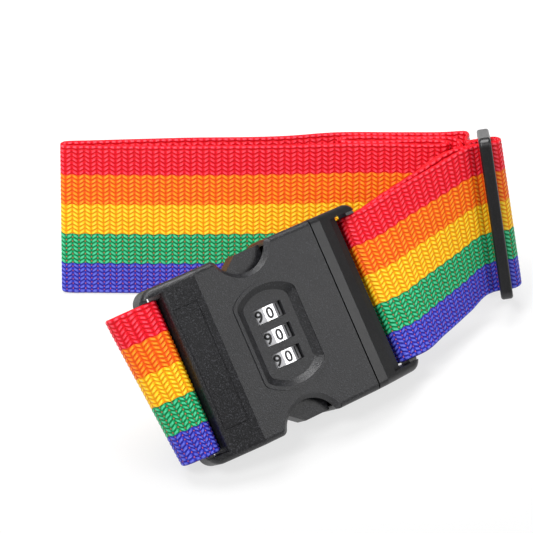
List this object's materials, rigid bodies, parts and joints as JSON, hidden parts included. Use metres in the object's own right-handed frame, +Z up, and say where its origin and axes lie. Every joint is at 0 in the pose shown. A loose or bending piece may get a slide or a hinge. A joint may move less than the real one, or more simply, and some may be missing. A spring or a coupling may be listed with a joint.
{
  "type": "luggage strap",
  "caption": "Rainbow-striped webbing luggage strap, folded up, with a black side-release buckle that has combination dials, and a length slider.",
  "frame": {"origin": "middle of the footprint, on the floor", "axes": "+X along the folded bundle, from its left fold to the slider; +Y towards the back; +Z up"},
  "size_m": [0.1552, 0.1242, 0.0575],
  "materials": {
    "moulded_black": "fine spark-eroded texture",
    "slider_black": "satin",
    "inner_plastic": "matt",
    "dial_silver": "satin, with black numbers",
    "sleeve_brass": "plain",
    "bright_steel": "bright zinc",
    "spring_steel": "plain",
    "striped_webbing": "woven polyester, five stripes: red, orange, yellow, green and blue"
  },
  "bodies": {
    "strap": {"strap_outer": "striped_webbing", "strap_inner": "striped_webbing", "strap_run": "striped_webbing", "adjust_loop": "striped_webbing", "length_slider": "slider_black", "tongue_frame": "moulded_black"},
    "lock": {"housing_top": "moulded_black", "housing_bottom": "moulded_black", "housing_screws": "bright_steel", "dial_shaft": "bright_steel", "shaft_spring": "spring_steel", "slide_spring": "spring_steel", "button_spring": "spring_steel", "detent_spring": "spring_steel", "locking_slide": "inner_plastic", "lock_loop": "striped_webbing"},
    "dial_1": {"dial_1": "dial_silver", "dial_sleeve_1": "sleeve_brass"},
    "dial_2": {"dial_2": "dial_silver", "dial_sleeve_2": "sleeve_brass"},
    "dial_3": {"dial_3": "dial_silver", "dial_sleeve_3": "sleeve_brass"},
    "reset_button": {"reset_button": "moulded_black"},
    "left_arm": {"latch_arm_left": "moulded_black"},
    "right_arm": {"latch_arm_right": "moulded_black"}
  },
  "joints": [
    {"name": "lock_release", "type": "slide", "parent": "strap", "child": "lock", "axis": [-0.8192, -0.5736, 0], "range_m": [0, 0.037], "deforming": ["strap_run", "latch_arm_left", "latch_arm_right"]},
    {"name": "dial_1_turn", "type": "hinge", "parent": "lock", "child": "dial_1", "pos_m": [-0.00637, -0.02592, 0.02711], "axis": [-0.3984, 0.569, 0.7193], "continuous": true},
    {"name": "dial_2_turn", "type": "hinge", "parent": "lock", "child": "dial_2", "pos_m": [-0.00637, -0.02592, 0.02711], "axis": [-0.3984, 0.569, 0.7193], "continuous": true},
    {"name": "dial_3_turn", "type": "hinge", "parent": "lock", "child": "dial_3", "pos_m": [-0.00637, -0.02592, 0.02711], "axis": [-0.3984, 0.569, 0.7193], "continuous": true},
    {"name": "reset_press", "type": "slide", "parent": "lock", "child": "reset_button", "axis": [0.4126, -0.5892, 0.6947], "range_m": [0, 0.0012], "stiffness_N_per_m": 600, "deforming": ["button_spring"]},
    {"name": "left_arm_squeeze", "type": "hinge", "parent": "strap", "child": "left_arm", "pos_m": [0.00319, -0.00157, 0.04122], "axis": [0.4126, -0.5892, 0.6947], "range_deg": [0, 6], "stiffness_Nm_per_rad": 3},
    {"name": "right_arm_squeeze", "type": "hinge", "parent": "strap", "child": "right_arm", "pos_m": [0.01929, -0.02456, 0.01216], "axis": [0.4126, -0.5892, 0.6947], "range_deg": [-6, 0], "stiffness_Nm_per_rad": 3}
  ]
}
